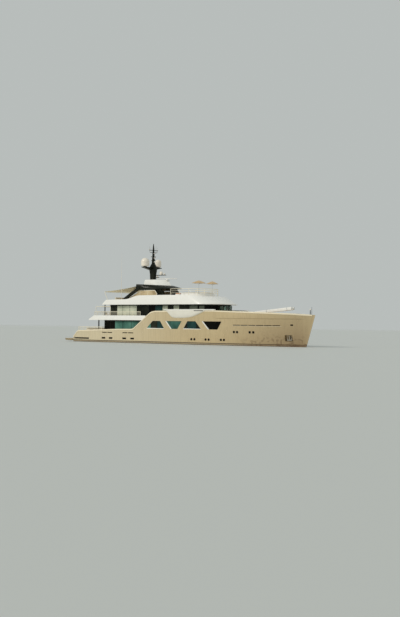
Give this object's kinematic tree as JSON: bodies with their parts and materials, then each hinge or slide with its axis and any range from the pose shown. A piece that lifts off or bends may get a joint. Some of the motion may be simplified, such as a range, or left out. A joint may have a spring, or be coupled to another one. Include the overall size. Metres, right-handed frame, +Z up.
{
  "type": "motor yacht, 1:2 scale model",
  "caption": "Motor yacht hull with deckhouses, hardtop, mast, foredeck crane, propellers, rudders, fins and opening doors, as a half-size scale model.",
  "frame": {"origin": "on the waterline amidships, on the centre line", "axes": "+X towards the bow, +Y to port, +Z up"},
  "size_m": [29.0009, 5.657, 11.3935],
  "materials": {
    "hull_paint": "gloss metallic champagne topside paint, dark brown antifouling below the waterline",
    "white_paint": "gloss white paint",
    "dark_paint": "satin near-black paint",
    "window_glass": "tinted glass",
    "antifouling": "matt dark brown antifouling",
    "anchor_steel": "galvanised steel",
    "bronze": "polished bronze",
    "bright_steel": "polished stainless steel",
    "radar_plastic": "gloss white fibreglass",
    "canvas": "woven acrylic canvas"
  },
  "bodies": {
    "ship": {"hull": "hull_paint", "topsides": "hull_paint", "bulwark": "hull_paint", "swim_platform": "hull_paint", "topside_glass_starboard": "window_glass", "topside_glass_port": "window_glass", "bridge_wing_starboard": "white_paint", "bridge_wing_port": "white_paint", "anchor_starboard": "anchor_steel", "anchor_port": "anchor_steel", "upper_deck": "white_paint", "main_deckhouse": "dark_paint", "main_glass_starboard": "window_glass", "main_glass_port": "window_glass", "upper_deckhouse": "dark_paint", "upper_glass": "window_glass", "sun_deck": "white_paint", "hardtop": "dark_paint", "radar_fairing": "white_paint", "mast": "dark_paint", "radome_starboard": "radar_plastic", "radome_port": "radar_plastic", "foredeck_locker": "white_paint", "windlass": "bright_steel", "spa_pool": "white_paint", "parasol_starboard": "canvas", "parasol_port": "canvas", "sun_rail": "bright_steel", "upper_bulwark": "white_paint", "aft_rail": "bright_steel", "sun_awning_frame": "bright_steel", "sun_awning": "canvas"},
    "transom_door": {"transom_door": "hull_paint"},
    "propeller_starboard": {"propeller_starboard": "bronze"},
    "propeller_port": {"propeller_port": "bronze"},
    "rudder_starboard": {"rudder_starboard": "antifouling"},
    "rudder_port": {"rudder_port": "antifouling"},
    "stabiliser_starboard": {"stabiliser_starboard": "antifouling"},
    "stabiliser_port": {"stabiliser_port": "antifouling"},
    "radar_scanner": {"radar_scanner": "radar_plastic"},
    "crane_turret": {"crane_turret": "white_paint"},
    "crane_boom": {"crane_boom": "white_paint"},
    "main_door_starboard": {"main_door_starboard": "window_glass"},
    "main_door_port": {"main_door_port": "window_glass"},
    "upper_door": {"upper_door": "window_glass"}
  },
  "joints": [
    {"name": "transom_door_hinge", "type": "hinge", "parent": "ship", "child": "transom_door", "pos_m": [-12.14286, 0, 1.03], "axis": [0, 1, 0], "range_deg": [0, 75]},
    {"name": "propeller_starboard_spin", "type": "hinge", "parent": "ship", "child": "propeller_starboard", "pos_m": [-10.6, -1.15, -1.225], "axis": [1, 0, 0], "continuous": true},
    {"name": "rudder_starboard_stock", "type": "hinge", "parent": "ship", "child": "rudder_starboard", "pos_m": [-11.45, -1.15, 0], "axis": [0, 0, 1], "range_deg": [-35, 35]},
    {"name": "stabiliser_starboard_shaft", "type": "hinge", "parent": "ship", "child": "stabiliser_starboard", "pos_m": [-0.6, -2.185, -1.175], "axis": [0, -0.7071, -0.7071], "range_deg": [-25, 25]},
    {"name": "propeller_port_spin", "type": "hinge", "parent": "ship", "child": "propeller_port", "pos_m": [-10.6, 1.15, -1.225], "axis": [1, 0, 0], "continuous": true},
    {"name": "rudder_port_stock", "type": "hinge", "parent": "ship", "child": "rudder_port", "pos_m": [-11.45, 1.15, 0], "axis": [0, 0, 1], "range_deg": [-35, 35]},
    {"name": "stabiliser_port_shaft", "type": "hinge", "parent": "ship", "child": "stabiliser_port", "pos_m": [-0.6, 2.185, -1.175], "axis": [0, 0.7071, -0.7071], "range_deg": [-25, 25]},
    {"name": "radar_spin", "type": "hinge", "parent": "ship", "child": "radar_scanner", "pos_m": [-2.25, 0, 6.09], "axis": [0, 0, 1], "continuous": true},
    {"name": "crane_slew", "type": "hinge", "parent": "ship", "child": "crane_turret", "pos_m": [8.5, 0, 2.725], "axis": [0, 0, 1], "range_deg": [-110, 110]},
    {"name": "crane_luff", "type": "hinge", "parent": "crane_turret", "child": "crane_boom", "pos_m": [8.5, 0, 2.95], "axis": [0, -1, 0], "range_deg": [0, 55]},
    {"name": "main_door_starboard_slide", "type": "slide", "parent": "ship", "child": "main_door_starboard", "axis": [0, -1, 0], "range_m": [0, 0.8]},
    {"name": "main_door_port_slide", "type": "slide", "parent": "ship", "child": "main_door_port", "axis": [0, 1, 0], "range_m": [0, 0.8]},
    {"name": "upper_door_slide", "type": "slide", "parent": "ship", "child": "upper_door", "axis": [0, 1, 0], "range_m": [0, 1.1]}
  ]
}
